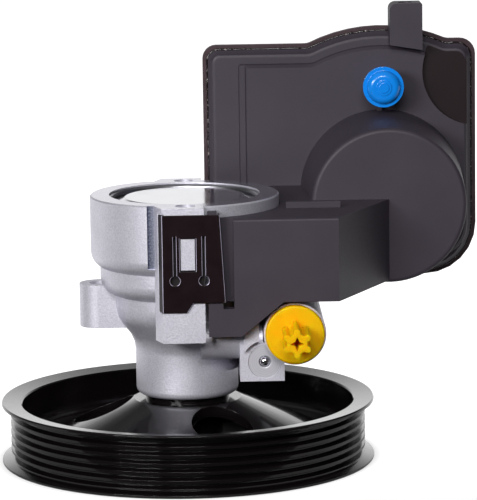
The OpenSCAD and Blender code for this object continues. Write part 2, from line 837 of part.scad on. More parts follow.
module mounting_post() {
    post_out = 3.5;
    post_w = 14.3;
    post_h = 18.2;
    post_slant = 2.4;
    post_proud = 6;
    post_depth = 13;
    post_x = sump_x + post_out;
    post_y = panel_y - post_proud;
    post_top_z = tank_top_z + post_h;
    left_edge = 3;
    right_edge = 0.8;
    hole_d = 6.6;
    hole_depth = 12;
    difference() {
        xz_sheet(post_y, post_depth) polygon(rounded([
            [post_x, tank_top_z, 0], [post_x + post_w, tank_top_z - post_slant, 0],
            [post_x + post_w, post_top_z, right_edge], [post_x, post_top_z, left_edge]]));
        translate([post_x + post_w / 2, post_y + post_depth / 2, post_top_z - hole_depth])
            cylinder(d = hole_d, h = hole_depth + over);
    }
}

module reservoir_front_body() {
    band_round = 2;
    panel_draft = 0.5;
    panel_bevel = 1.2;
    ledge_w = 3;
    ledge_t = 1.5;
    sump_round = 2;
    sump_draft = 2.9;
    sump_back = seam_y - lip_t - lip_foot - sump_front_y;
    ridge_in = 2;
    ridge_x = saddle_r + ridge_in;
    ridge_y = -16;
    ridge_w = 23;
    ridge_t = 2;
    ridge_h = 2.7;
    rail_proud = 0.8;
    rail_t = 8.5;
    rib_w = 2.2;
    rib_depth = 3;
    rib_h = 4.4;
    tank_loft([
        full_level(band_y, seam_w + band_round), full_level(band_y + band_round / 3, seam_w + band_round / 3),
        full_level(seam_y - lip_t - lip_foot, seam_w), full_level(seam_y - lip_t, lip_in + lip_edge),
        full_level(seam_y - lip_t + lip_edge, lip_in), full_level(seam_y, lip_in)]);
    tank_loft([
        [panel_y, panel_inset + panel_bevel, panel_x, panel_right_x - panel_bevel],
        [panel_y + panel_bevel, panel_inset, panel_x - panel_draft, panel_right_x],
        [band_y + panel_draft, panel_inset - panel_draft,
         panel_x - 2 * panel_draft, panel_right_x + panel_draft]]);
    tank_loft([
        [panel_y + ledge_t, panel_inset, panel_x - ledge_w, panel_right_x],
        [band_y + panel_draft, panel_inset - panel_draft,
         panel_x - ledge_w - panel_draft, panel_right_x + panel_draft]]);
    along_y(sump_x, sump_z, sump_front_y) rotate_extrude() polygon(concat(
        [[0, 0]], arc([sump_d / 2 - sump_round, sump_round], sump_round, -90, 0, 5),
        [[sump_d / 2 + sump_draft, sump_back], [0, sump_back]]));
    difference() {
        union() {
            intersection() {
                translate([0, 0, duct_z]) linear_extrude(duct_h) duct_plan();
                duct_section();
            }
            translate([rail_x, -column_y, duct_z]) cube([rail_w, rail_t, clip_top_z + rail_proud - duct_z]);
        }
        translate([0, 0, duct_z - over]) cylinder(r = saddle_r, h = top_z - duct_z + over);
    }
    translate([ridge_x, ridge_y, duct_top_z - over]) cube([ridge_w, ridge_t, ridge_h + over]);
    duct_tongue();
    mounting_post();
    translate([stub_x - rib_w, panel_y - rib_depth, sump_z + sump_d / 2 + over])
        cube([rib_w, rib_depth + over, rib_h]);
    along_y(stub_x, stub_z, panel_y - stub_len) cylinder(d = stub_d, h = stub_len + panel_step + over);
}

module reservoir_front_room() {
    inset = panel_inset + wall;
    room_right_x = panel_right_x - wall - 2;
    slant_wall = 1.3 * wall;
    tank_loft([full_level(band_y + wall, seam_w + wall + 1), full_level(seam_y + over, seam_w + wall)]);
    difference() {
        tank_loft([
            [panel_y + wall, inset, panel_x + wall, room_right_x],
            [seam_y, inset, panel_x + wall, room_right_x]]);
        corner_pocket(wall);
    }
    along_y(sump_x, sump_z, sump_front_y + wall)
        cylinder(d = sump_d - 2 * wall, h = band_y + over - sump_front_y);
    difference() {
        translate([0, 0, duct_z + wall]) linear_extrude(duct_h - 2 * wall) polygon([
            [rail_slot_x + wall, -column_y + wall], [duct_right_x - slant_wall, -column_y + wall],
            [sump_x - slant_wall, sump_front_y], [sump_x - slant_wall, seam_y],
            [rail_slot_x + wall, seam_y]]);
        translate([0, 0, duct_z]) cylinder(r = saddle_r + wall, h = duct_h);
    }
    along_y(stub_x, stub_z, panel_y - stub_len - over)
        cylinder(d = stub_bore, h = seam_y - panel_y + stub_len);
    translate([0, 0, inlet_z]) rotate([0, 90, 0]) cylinder(d = inlet_bore, h = saddle_r + 2 * wall);
}

// The scooped corner of the panel, or with a wall left round it
module corner_pocket(skin = 0) {
    pocket_r = 24;
    pocket_drop = 12.5;
    along_y(tank_right_x, tank_top_z - pocket_drop, panel_y - over)
        cylinder(r = pocket_r + skin, h = band_y - panel_y + over + skin);
}

module inlet_spigot() {
    spigot_r = inlet_d / 2 - side_gap;
    translate([inlet_tip_x, 0, inlet_z]) rotate([0, 90, 0]) difference() {
        cylinder(r = spigot_r, h = saddle_r + wall - inlet_tip_x);
        translate([0, 0, seal_inset]) tube(spigot_r + over, spigot_r - o_ring, o_ring);
    }
}

module reservoir_front() {
    color(nylon_black) difference() {
        union() {
            difference() {
                reservoir_front_body();
                rail_slot(-1);
                rail_slot(1);
                corner_pocket();
            }
            inlet_spigot();
        }
        reservoir_front_room();
    }
}

module inlet_seal() {
    section = o_ring - 2 * press_gap;
    color(rubber_black) translate([inlet_tip_x + seal_inset + o_ring / 2, 0, inlet_z]) rotate([0, 90, 0])
        o_ring(inlet_d / 2 - side_gap - o_ring + press_gap + section / 2, section);
}

// Bayonet segments: two arcs of a ring about the filler's axis
module bayonet_arcs(inner_r, outer_r, h) {
    span = 56;
    for (turn = [0, 180]) rotate(turn - span / 2) rotate_extrude(angle = span)
        translate([inner_r, 0]) square([outer_r - inner_r, h]);
}

module reservoir_rear() {
    back_round = 7;
    draft = 1.2;
    side = seam_w + draft;
    inner_round = back_round - wall;
    inner = side + wall;
    color(nylon_black) difference() {
        union() {
            tank_loft(concat(
                [full_level(seam_y, 0), full_level(seam_y + lip_t - lip_edge, 0),
                 full_level(seam_y + lip_t, lip_edge), full_level(seam_y + lip_t, lip_w),
                 full_level(seam_y + lip_t + lip_foot, seam_w)],
                [for (a = [0:15:90])
                    full_level(rear_y - back_round * (1 - sin(a)), side + back_round * (1 - cos(a)))]));
            along_y(filler_x, filler_z, rear_y - back_round)
                cylinder(r = filler_r, h = filler_h + back_round);
            along_y(filler_x, filler_z, lug_y) bayonet_arcs(filler_r - over, filler_r + lug_h, lug_t);
        }
        tank_loft(concat(
            [full_level(seam_y - over, seam_w + wall), full_level(seam_y + over, seam_w + wall)],
            [for (a = [0:30:90])
                full_level(rear_y - wall - inner_round * (1 - sin(a)), inner + inner_round * (1 - cos(a)))]));
        along_y(filler_x, filler_z, rear_y - back_round)
            cylinder(r = filler_r - wall, h = back_round + filler_h + over);
    }
}

module return_cap() {
    bore_r = stub_d / 2 + press_gap;
    skirt_r = bore_r + 1.8;
    brim_r = skirt_r + 1.6;
    brim_t = 2.4;
    brim_in = 4.2;
    dome = 4;
    dome_round = 3;
    nub_r = 2.2;
    ring_r = 3.4;
    ring_h = 0.5;
    len = dome + stub_len - 1;
    color([0, 0.47, 0.86]) along_y(stub_x, stub_z, panel_y - stub_len - dome) rotate_extrude() polygon(concat(
        [[0, 0], [nub_r, 0], [nub_r, ring_h], [ring_r, ring_h], [ring_r, 2 * ring_h]],
        arc([skirt_r - dome_round, 2 * ring_h + dome_round], dome_round, -90, 0, 6),
        [[skirt_r, brim_in], [brim_r, brim_in], [brim_r, brim_in + brim_t], [skirt_r, brim_in + brim_t],
         [skirt_r, len], [bore_r, len], [bore_r, dome - press_gap], [0, dome - press_gap]]));
}

// Filler cap: bayonet skirt with finger grips, and the dipstick under it

module filler_cap() {
    skirt_r = filler_r + lug_h + side_gap;
    skirt_wall = 2.4;
    cap_r = skirt_r + skirt_wall;
    top_t = 3;
    skirt_gap = 1.4;
    hook_gap = 2;
    skirt_y = rear_y + skirt_gap;
    hook_y = rear_y + hook_gap;
    hook_t = lug_y - side_gap - hook_y;
    roof_y = filler_top_y + cap_seal_t + 2 * seat_gap;
    stick_d = 5;
    stick_gap = 4;
    stick_y = seam_y + stick_gap;
    grip_count = 12;
    grip_r = 5;
    grip_depth = 1.6;
    color(gloss_black) {
        difference() {
            along_y(filler_x, filler_z, skirt_y) cylinder(r = cap_r, h = roof_y + top_t - skirt_y);
            along_y(filler_x, filler_z, skirt_y - over) cylinder(r = skirt_r, h = roof_y - skirt_y + over);
            along_y(filler_x, filler_z, skirt_y - over) for (i = [0:grip_count - 1])
                rotate(360 * i / grip_count) translate([cap_r + grip_r - grip_depth, 0, 0])
                    cylinder(r = grip_r, h = roof_y + top_t - skirt_y + 2 * over, $fn = 32);
        }
        along_y(filler_x, filler_z, hook_y)
            bayonet_arcs(filler_r + side_gap, skirt_r + skirt_wall / 4, hook_t);
        along_y(filler_x, filler_z, stick_y) cylinder(d = stick_d, h = roof_y + over - stick_y);
    }
}

module cap_seal() {
    color(rubber_black) along_y(filler_x, filler_z, filler_top_y + seat_gap)
        tube(filler_r, filler_r - wall, cap_seal_t);
}

// Spring-steel clips that slide down over a column and the reservoir's rail

module clip(side) {
    step = 4;
    step_x = 0.1;
    step_w = 2.8;
    slit_w = 1.2;
    left_len = 3.2;
    left_t = clip_t * sqrt(1 + column_splay * column_splay);
    right_len = 4.4;
    left_y = clip_plate_y - left_len;
    front_y = clip_plate_y + clip_t;
    left_end_x = column_left_x - column_splay * (front_y - left_y);
    edge = function (z) rail_edge(z) + seat_gap + clip_t;
    low = clip_z + step;
    color(gloss_black) mirror([0, side > 0 ? 0 : 1, 0]) {
        xz_sheet(clip_plate_y, clip_t) difference() {
            polygon([
                [column_left_x, clip_z], [step_x, clip_z], [step_x + step_w, low], [edge(low), low],
                [edge(clip_top_z), clip_top_z], [column_left_x, clip_top_z]]);
            for (x = [-slit_left, slit_right]) {
                translate([x - slit_w / 2, slit_z]) square([slit_w, slit_len]);
                translate([x, slit_z]) circle(r = slit_end_r, $fn = 32);
            }
            translate([window_x, window_z]) square([window_w, window_h]);
        }
        translate([0, 0, clip_z]) linear_extrude(clip_h) polygon([
            [column_left_x, front_y], [left_end_x, left_y],
            [left_end_x + left_t, left_y], [column_left_x + left_t, front_y]]);
        xz_sheet(clip_plate_y - right_len, right_len) polygon([
            [edge(low) - clip_t, low], [edge(low), low],
            [edge(clip_top_z), clip_top_z], [edge(clip_top_z) - clip_t, clip_top_z]]);
    }
}

module front_clip() {
    clip(-1);
}

module rear_clip() {
    clip(1);
}

// Ribbed belt pulley

module pulley_profile() {
    flange_r = pulley_d / 2;
    crest = flange_r - flange_h;
    root = crest - groove_depth;
    inner_r = root - rim_wall;
    first_z = pulley_w / 2 - groove_pitch * groove_count / 2;
    root_w = 0.25;
    groove_half_angle = 20;
    half_w = root_w + groove_depth * tan(groove_half_angle);
    web_fillet = 5;
    edge = 0.5;
    collar_r = collar_d / 2;
    apron_r = collar_r + 5;
    foot_w = 3;
    bore_r = shaft_r + press_gap;
    web_lip_z = pulley_w;
    slope = (web_lip_z - web_rim_z) / (inner_r - apron_r);
    under = function (r) web_lip_z - slope * (r - apron_r) - web_t;
    grooves = [for (i = [0:groove_count - 1])
        let (z = first_z + groove_pitch * (i + 0.5))
        each [[crest, z - half_w], [root, z - root_w], [root, z + root_w], [crest, z + half_w]]];
    outside = concat(
        [[flange_r - edge, 0], [flange_r, edge], [flange_r, flange_t], [crest, first_z]], grooves,
        [[crest, pulley_w - first_z], [flange_r, pulley_w - flange_t], [flange_r, pulley_w - edge],
         [flange_r - edge, pulley_w]]);
    inside = concat(
        [[inner_r + edge, pulley_w - flange_dip], [inner_r, pulley_w - flange_dip - edge]],
        corner([inner_r, pulley_w], [inner_r, web_rim_z], [apron_r, web_lip_z], web_fillet, 8),
        [[apron_r, web_lip_z], [collar_r, web_lip_z], [collar_r, collar_z], [bore_r, collar_z],
         [bore_r, hub_z], [hub_d / 2 - edge, hub_z], [hub_d / 2, hub_z + edge],
         [hub_d / 2, under(hub_d / 2)], [inner_r - foot_w, under(inner_r - foot_w)],
         [inner_r - foot_w / 3, 0]]);
    polygon(concat(outside, inside));
}

module pulley() {
    access_angle = 53;
    notch_count = 10;
    notch_w = 3;
    notch_in = 2;
    notch_z = pulley_w + 0.6;
    color(gloss_black) difference() {
        rotate_extrude() pulley_profile();
        for (i = [0:access_count - 1]) rotate(access_angle + 360 * i / access_count)
            translate([access_r, 0, -over]) cylinder(d = access_d, h = collar_z + 2 * over);
        for (i = [0:notch_count - 1]) rotate(360 * i / notch_count)
            translate([collar_d / 2 - notch_in, -notch_w / 2, notch_z])
                cube([notch_in + over, notch_w, collar_h]);
    }
}

// Drive shaft and the rotor it turns

module spline(outer_r, h) {
    tooth = 1;
    linear_extrude(h) polygon([for (i = [0:2 * spline_teeth - 1])
        let (a = 180 * i / spline_teeth, r = i % 2 == 0 ? outer_r : outer_r - tooth) r * [cos(a), sin(a)]]);
}

module drive_shaft() {
    end_z = hub_z + 1;
    shoulder = rotor_z - 1;
    chamfer = 1;
    groove_top_z = snap_z + snap_t + 2 * press_gap;
    color(bright_grey) {
        rotate_extrude() polygon([
            [0, end_z], [shaft_r - chamfer, end_z], [shaft_r, end_z + chamfer],
            [shaft_r, shoulder - chamfer], [shaft_r - chamfer, shoulder], [0, shoulder]]);
        translate([0, 0, shoulder]) spline(spline_d / 2, snap_z - shoulder);
        translate([0, 0, snap_z]) cylinder(r = snap_groove_r, h = groove_top_z - snap_z);
        translate([0, 0, groove_top_z]) cylinder(r = spline_d / 2 - chamfer, h = shaft_top_z - groove_top_z);
    }
}

module at_vanes() {
    for (i = [0:vane_count - 1]) rotate(360 * (i + 0.5) / vane_count) children();
}

module pump_rotor() {
    slot_w = vane_t + 2 * running_gap;
    slot_in = rotor_d / 2 - vane_h - 1;
    slot_end_r = 0.8 * slot_w;
    color(steel_grey) translate([0, 0, rotor_z]) difference() {
        cylinder(d = rotor_d, h = rotor_t);
        translate([0, 0, -over]) spline(spline_d / 2 + running_gap, rotor_t + 2 * over);
        at_vanes() {
            translate([slot_in, -slot_w / 2, -over]) cube([rotor_d, slot_w, rotor_t + 2 * over]);
            translate([slot_in, 0, -over]) cylinder(r = slot_end_r, h = rotor_t + 2 * over, $fn = 32);
        }
    }
}

module vanes() {
    color(bright_grey) translate([0, 0, rotor_z]) at_vanes()
        translate([rotor_d / 2 - vane_h, -vane_t / 2, 0]) cube([vane_h - seat_gap, vane_t, rotor_t]);
}

module rotor_snap_ring() {
    ring_in = snap_groove_r + press_gap;
    open_w = 4;
    color(steel_grey) translate([0, 0, snap_z + press_gap]) difference() {
        tube(ring_in + snap_w, ring_in, snap_t);
        translate([0, -open_w / 2, -over]) cube([spline_d, open_w, snap_t + 2 * over]);
    }
}

pump_housing();
shaft_bush();
shaft_seal();
thrust_plate();
cam_ring();
dowel_pins();
pressure_plate();
plate_seal();
pressure_spring();
end_cover();
cover_seal();
cover_ring();
passage_plug();
passage_ball();
valve_spring();
outlet_fitting();
fitting_seal();
outlet_plug();
reservoir_front();
reservoir_rear();
inlet_seal();
return_cap();
front_clip();
rear_clip();
pulley();
drive_shaft();
pump_rotor();
vanes();
rotor_snap_ring();
valve_spool();
filler_cap();
cap_seal();
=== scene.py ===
import math

import bmesh
import bpy
from mathutils import Matrix, Vector, noise


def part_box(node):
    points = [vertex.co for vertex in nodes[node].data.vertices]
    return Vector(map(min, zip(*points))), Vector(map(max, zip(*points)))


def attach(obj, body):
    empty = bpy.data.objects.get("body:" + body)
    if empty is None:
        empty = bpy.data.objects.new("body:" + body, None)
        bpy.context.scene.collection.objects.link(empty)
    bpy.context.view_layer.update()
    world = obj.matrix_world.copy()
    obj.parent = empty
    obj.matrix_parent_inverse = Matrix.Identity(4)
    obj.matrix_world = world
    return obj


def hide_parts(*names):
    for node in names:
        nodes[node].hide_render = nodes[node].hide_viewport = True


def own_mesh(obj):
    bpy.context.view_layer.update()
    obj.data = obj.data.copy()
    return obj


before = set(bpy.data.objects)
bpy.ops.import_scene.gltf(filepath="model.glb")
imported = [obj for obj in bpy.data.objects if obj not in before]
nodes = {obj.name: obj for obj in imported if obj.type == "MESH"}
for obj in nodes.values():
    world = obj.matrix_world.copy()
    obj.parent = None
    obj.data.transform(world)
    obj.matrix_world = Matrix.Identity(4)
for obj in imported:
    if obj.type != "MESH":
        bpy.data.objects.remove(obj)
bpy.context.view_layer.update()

# Pump housing
# One aluminium die casting, shot-blasted all over and then milled on its top face and on the flats beside
# the clips. The blast leaves an even, soft grey skin, and the cutter leaves smoother faces.
MM = 0.001
same_point = 0.002 * MM
no_length = 0.0002 * MM
level_angle = math.radians(0.6)
hard_angle = math.radians(28)
crease_angle = math.radians(40)


def linear(code):
    channels = [int(code[i:i + 2], 16) / 255 for i in (1, 3, 5)]
    return [c / 12.92 if c <= 0.04045 else ((c + 0.055) / 1.055) ** 2.4 for c in channels] + [1.0]


# A value that is another node's output is linked, and any other value is set on the socket.
def feed(node, inputs):
    for socket, value in inputs.items():
        if isinstance(value, bpy.types.NodeSocket):
            node.id_data.links.new(value, node.inputs[socket])
        else:
            node.inputs[socket].default_value = value


def put(tree, kind, inputs=None, **settings):
    node = tree.nodes.new(kind)
    for name, value in settings.items():
        setattr(node, name, value)
    feed(node, inputs or {})
    return node


def new_finish(name):
    material = bpy.data.materials.new(name)
    material.use_nodes = True
    tree = material.node_tree
    tree.nodes.clear()
    where = put(tree, "ShaderNodeTexCoord").outputs
    shader = put(tree, "ShaderNodeBsdfPrincipled")
    put(tree, "ShaderNodeOutputMaterial", {"Surface": shader.outputs["BSDF"]})
    return material, tree, where, shader


def new_piece(name, shape, material):
    mesh = bpy.data.meshes.new(name)
    shape.to_mesh(mesh)
    shape.free()
    mesh.materials.append(material)
    piece = bpy.data.objects.new(name, mesh)
    bpy.context.scene.collection.objects.link(piece)
    return piece


# The solid with its hard edges eased, as casting, moulding and pressing leave them. Where edges lie closer
# together than the width, the bevel's clamp keeps the easing small on the whole piece.
def eased(node, width, material, body, segments=2):
    shape = bmesh.new()
    shape.from_mesh(nodes[node].data)
    bmesh.ops.remove_doubles(shape, verts=shape.verts, dist=same_point)
    bmesh.ops.dissolve_limit(shape, angle_limit=level_angle, verts=shape.verts, edges=shape.edges)
    hard = [e for e in shape.edges if e.is_manifold and e.calc_face_angle(0) > hard_angle]
    bmesh.ops.bevel(shape, geom=hard, offset=width, offset_type="OFFSET", segments=segments, profile=0.5,
                    affect="EDGES", clamp_overlap=True, material=-1)
    bmesh.ops.dissolve_degenerate(shape, dist=no_length, edges=shape.edges)
    for face in shape.faces:
        face.smooth = True
    for edge in shape.edges:
        edge.smooth = not edge.is_manifold or edge.calc_face_angle(0) < crease_angle
    piece = new_piece(node + "_eased", shape, material)
    piece.modifiers.new("flat faces", "WEIGHTED_NORMAL").keep_sharp = True
    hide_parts(node)
    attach(piece, body)
    return piece


# The clips' flats and the hollows behind their slits are sunk below the outer faces of the bolt columns.
housing_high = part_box("pump_housing")[1]
top_zone = 4 * MM
flat_y = housing_high.y - 9 * MM
flat_left_x = -15.5 * MM
flat_right_x = -13 * MM
hollow_y = housing_high.y - 1.6 * MM
plane_gap = 0.2 * MM
cast_aluminium, tree, where, shader = new_finish("shot_blasted_die_cast_aluminium")
# The blasting grit leaves pits of about 0.3 mm. They are drawn at 0.7 mm to show in the picture.
pit_size = 0.7 * MM
cloud_size = 14 * MM
grit = put(tree, "ShaderNodeTexNoise", {"Vector": where["Object"], "Scale": 1 / pit_size, "Detail": 3.0})
clouds = put(tree, "ShaderNodeTexNoise", {"Vector": where["Object"], "Scale": 1 / cloud_size, "Detail": 4.0})
pits = put(tree, "ShaderNodeMapRange", {"Value": grit.outputs["Fac"], "From Min": 0.35, "From Max": 0.65})
mottle = put(tree, "ShaderNodeMix", {"Factor": 0.45, "A": clouds.outputs["Fac"], "B": pits.outputs["Result"]})
tone = put(tree, "ShaderNodeMix", {"Factor": mottle.outputs[0], "A": linear("#c4c2cd"),
                                   "B": linear("#e9e7f1")}, data_type="RGBA")
spot = put(tree, "ShaderNodeSeparateXYZ", {"Vector": where["Object"]}).outputs
facing = put(tree, "ShaderNodeSeparateXYZ", {"Vector": where["Normal"]}).outputs
upward = put(tree, "ShaderNodeMath", {0: facing["Z"], 1: 0.9}, operation="GREATER_THAN")
at_top = put(tree, "ShaderNodeMath", {0: spot["Z"], 1: housing_high.z - top_zone}, operation="GREATER_THAN")
top_face = put(tree, "ShaderNodeMath", {0: upward.outputs[0], 1: at_top.outputs[0]}, operation="MULTIPLY")
across = put(tree, "ShaderNodeMath", {0: facing["Y"]}, operation="ABSOLUTE")
square_on = put(tree, "ShaderNodeMath", {0: across.outputs[0], 1: 0.97}, operation="GREATER_THAN")
depth = put(tree, "ShaderNodeMath", {0: spot["Y"]}, operation="ABSOLUTE")
at_flat = put(tree, "ShaderNodeMath", {0: depth.outputs[0], 1: flat_y, 2: plane_gap}, operation="COMPARE")
flat_face = put(tree, "ShaderNodeMath", {0: square_on.outputs[0], 1: at_flat.outputs[0]},
                operation="MULTIPLY")
cut_face = put(tree, "ShaderNodeMath", {0: top_face.outputs[0], 1: flat_face.outputs[0]}, operation="MAXIMUM")
# On the flats the cutter tore the casting's skin in specks of under a millimetre, drawn pale on a dark navy
# that is painted shade. The painted shade deepens toward the left edge.
speck_size = 0.8 * MM
torn = put(tree, "ShaderNodeTexNoise", {"Vector": where["Object"], "Scale": 1 / speck_size, "Detail": 2.0})
specks = put(tree, "ShaderNodeMapRange", {"Value": torn.outputs["Fac"], "From Min": 0.42, "From Max": 0.75})
# Painted shade: the flats' tone darkens toward their left edge.
painted_left_shade = put(tree, "ShaderNodeMapRange", {"Value": spot["X"], "From Min": flat_left_x,
                                        "From Max": flat_right_x})
specks_and_painted_shade = put(tree, "ShaderNodeMix", {"Factor": 0.5, "A": specks.outputs["Result"],
                                       "B": painted_left_shade.outputs["Result"]})
# The dark navy end of the flats' tone is painted shade.
flat_tone = put(tree, "ShaderNodeMix", {"Factor": specks_and_painted_shade.outputs[0], "A": linear("#565c76"),
                                        "B": linear("#c0c3d2")}, data_type="RGBA")
milled = put(tree, "ShaderNodeMix", {"Factor": flat_face.outputs[0], "A": tone.outputs["Result"],
                                     "B": flat_tone.outputs["Result"]}, data_type="RGBA")
# In the hollows behind the clips a dark tone is painted as shade.
at_hollow = put(tree, "ShaderNodeMath", {0: depth.outputs[0], 1: hollow_y, 2: plane_gap}, operation="COMPARE")
painted_hollow_shade = put(tree, "ShaderNodeMath", {0: square_on.outputs[0], 1: at_hollow.outputs[0]}, operation="MULTIPLY")
skin = put(tree, "ShaderNodeMix", {"Factor": painted_hollow_shade.outputs[0], "A": milled.outputs["Result"],
                                   "B": linear("#2a2628")}, data_type="RGBA")
cut_rough = put(tree, "ShaderNodeMix", {"Factor": flat_face.outputs[0], "A": 0.22, "B": 0.42})
rough = put(tree, "ShaderNodeMix", {"Factor": cut_face.outputs[0], "A": 0.48, "B": cut_rough.outputs[0]})
metal = put(tree, "ShaderNodeMix", {"Factor": cut_face.outputs[0], "A": 0.7, "B": 1.0})
pitted = put(tree, "ShaderNodeMix", {"Factor": cut_face.outputs[0], "A": 0.7, "B": 0.02})
bump = put(tree, "ShaderNodeBump", {"Height": grit.outputs["Fac"], "Strength": pitted.outputs[0],
                                    "Distance": 0.12 * MM})
feed(shader, {"Base Color": skin.outputs["Result"], "Roughness": rough.outputs[0],
              "Metallic": metal.outputs[0], "Normal": bump.outputs["Normal"]})
eased("pump_housing", 0.5 * MM, cast_aluminium, "pump")

# Drive shaft, bush and seal
# A ground steel shaft runs in a plain bronze bush pressed into the neck, and a rubber lip seal under the
# bush keeps the fluid in. The housing and the pulley's hub hide most of them.
ground_steel, tree, where, shader = new_finish("ground_steel")
# Grinding leaves a fine, even lay, long one way and narrow the other.
lay_size = 3 * MM
stretch = put(tree, "ShaderNodeMapping", {"Vector": where["Object"], "Scale": (1.0, 12.0, 1.0)})
lay = put(tree, "ShaderNodeTexNoise", {"Vector": stretch.outputs["Vector"], "Scale": 1 / lay_size,
                                       "Detail": 3.0})
tone = put(tree, "ShaderNodeMix", {"Factor": lay.outputs["Fac"], "A": linear("#8f8f94"),
                                   "B": linear("#b9b9bd")}, data_type="RGBA")
rough = put(tree, "ShaderNodeMapRange", {"Value": lay.outputs["Fac"], "To Min": 0.24, "To Max": 0.4})
feed(shader, {"Base Color": tone.outputs["Result"], "Roughness": rough.outputs["Result"], "Metallic": 1.0})

# Sintering leaves the bronze open pores, which show as a fine mottle.
pore_size = 0.5 * MM
bronze, tree, where, shader = new_finish("sintered_bronze")
pores = put(tree, "ShaderNodeTexNoise", {"Vector": where["Object"], "Scale": 1 / pore_size, "Detail": 2.0})
tone = put(tree, "ShaderNodeMix", {"Factor": pores.outputs["Fac"], "A": linear("#7d5a31"),
                                   "B": linear("#b58d57")}, data_type="RGBA")
feed(shader, {"Base Color": tone.outputs["Result"], "Metallic": 1.0, "Roughness": 0.38})

# Moulded rubber is matt, with a faint grey bloom.
bloom_size = 2 * MM
rubber, tree, where, shader = new_finish("moulded_nitrile_rubber")
bloom = put(tree, "ShaderNodeTexNoise", {"Vector": where["Object"], "Scale": 1 / bloom_size, "Detail": 3.0})
tone = put(tree, "ShaderNodeMix", {"Factor": bloom.outputs["Fac"], "A": linear("#141414"),
                                   "B": linear("#242426")}, data_type="RGBA")
feed(shader, {"Base Color": tone.outputs["Result"], "Roughness": 0.62})


def coat(material, *names):
    for name in names:
        nodes[name].data.materials.clear()
        nodes[name].data.materials.append(material)


coat(ground_steel, "drive_shaft")
coat(bronze, "shaft_bush")
coat(rubber, "shaft_seal")

# Vane cartridge
# Ground steel plates, cam ring, slotted rotor and loose vanes, stacked on two dowel pins inside the
# housing. A rubber ring seals the upper plate, and a spring under the cover presses the stack together.
coat(ground_steel, "thrust_plate", "cam_ring", "dowel_pins", "pressure_plate", "pressure_spring",
     "pump_rotor", "vanes", "rotor_snap_ring")
coat(rubber, "plate_seal")

# End cover
# A steel cover turned and polished, pushed into the top bore on its ring seal and kept there by a
# round-wire ring in a groove.
turned_steel, tree, where, shader = new_finish("turned_and_polished_steel")
# The lathe's feed is about 0.1 mm a turn. It is drawn at 0.5 mm to show in the picture. A wave texture of
# scale 1 repeats after the length wave_length.
wave_length = 0.314
cover_feed = 0.5 * MM
smear_size = 9 * MM
cut = put(tree, "ShaderNodeTexWave", {"Vector": where["Object"], "Scale": wave_length / cover_feed,
                                      "Distortion": 0.4, "Detail": 1.0},
          wave_type="RINGS", rings_direction="Z")
smear = put(tree, "ShaderNodeTexNoise", {"Vector": where["Object"], "Scale": 1 / smear_size, "Detail": 3.0})
rough = put(tree, "ShaderNodeMapRange", {"Value": smear.outputs["Fac"], "To Min": 0.06, "To Max": 0.2})
bump = put(tree, "ShaderNodeBump", {"Height": cut.outputs["Fac"], "Strength": 0.06, "Distance": 0.05 * MM})
feed(shader, {"Base Color": linear("#dedee3"), "Roughness": rough.outputs["Result"], "Metallic": 1.0,
              "Normal": bump.outputs["Normal"]})
eased("end_cover", 0.4 * MM, turned_steel, "pump")
coat(ground_steel, "cover_ring")
coat(rubber, "cover_seal")

# Drilled passage's plug and ball
# A soft aluminium plug with a hardened ball pressed into it closes the end of the passage.
# The plug is plain turned, the ball is polished.
turned_plug, tree, where, shader = new_finish("turned_soft_aluminium")
plug_low, plug_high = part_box("passage_plug")
# The feed of about 0.2 mm is drawn at 0.9 mm, and faint, to show in the picture.
plug_feed = 0.9 * MM
centred = put(tree, "ShaderNodeMapping", {"Vector": where["Object"], "Location": -(plug_low + plug_high) / 2})
cut = put(tree, "ShaderNodeTexWave", {"Vector": centred.outputs["Vector"], "Scale": wave_length / plug_feed,
                                      "Distortion": 1.5, "Detail": 2.0},
          wave_type="RINGS", rings_direction="Y")
bump = put(tree, "ShaderNodeBump", {"Height": cut.outputs["Fac"], "Strength": 0.05, "Distance": 0.05 * MM})
tone = put(tree, "ShaderNodeMix", {"Factor": cut.outputs["Fac"], "A": linear("#cfced5"),
                                   "B": linear("#d8d7de")}, data_type="RGBA")
feed(shader, {"Base Color": tone.outputs["Result"], "Metallic": 0.7, "Roughness": 0.45,
              "Normal": bump.outputs["Normal"]})
eased("passage_plug", 0.35 * MM, turned_plug, "pump")

# The ball is a half circle, spun about the line through its poles.
ball_low, ball_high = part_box("passage_ball")
ball_centre = (ball_low + ball_high) / 2
ball_r = (ball_high.x - ball_low.x) / 2
half_turn = [math.radians(a) for a in range(0, 181, 10)]
round_ball = bmesh.new()
arc = [round_ball.verts.new(ball_centre + ball_r * Vector((math.sin(a), -math.cos(a), 0))) for a in half_turn]
arc += [round_ball.edges.new(pair) for pair in zip(arc, arc[1:])]
bmesh.ops.spin(round_ball, geom=arc, cent=ball_centre, axis=(0, 1, 0), angle=2 * math.pi, steps=32,
               use_merge=True)
bmesh.ops.remove_doubles(round_ball, verts=round_ball.verts, dist=same_point)
bmesh.ops.recalc_face_normals(round_ball, faces=round_ball.faces)
for face in round_ball.faces:
    face.smooth = True
ball = new_piece("passage_ball_spun", round_ball, turned_steel)
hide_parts("passage_ball")
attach(ball, "pump")

# Flow control valve
# A ground steel spool slides in the valve bore behind the turned outlet fitting, which a rubber ring seals.
# A coil of round steel wire pushes the spool forward. It is drawn as an object of its own, on a mesh of its
# own.
coat(ground_steel, "valve_spool", "valve_spring")
coat(turned_steel, "outlet_fitting")
coat(rubber, "fitting_seal")
valve_coil = bpy.data.objects.new("valve_spring_coil", nodes["valve_spring"].data.copy())
bpy.context.scene.collection.objects.link(valve_coil)
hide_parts("valve_spring")
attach(valve_coil, "pump")
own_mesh(valve_coil)

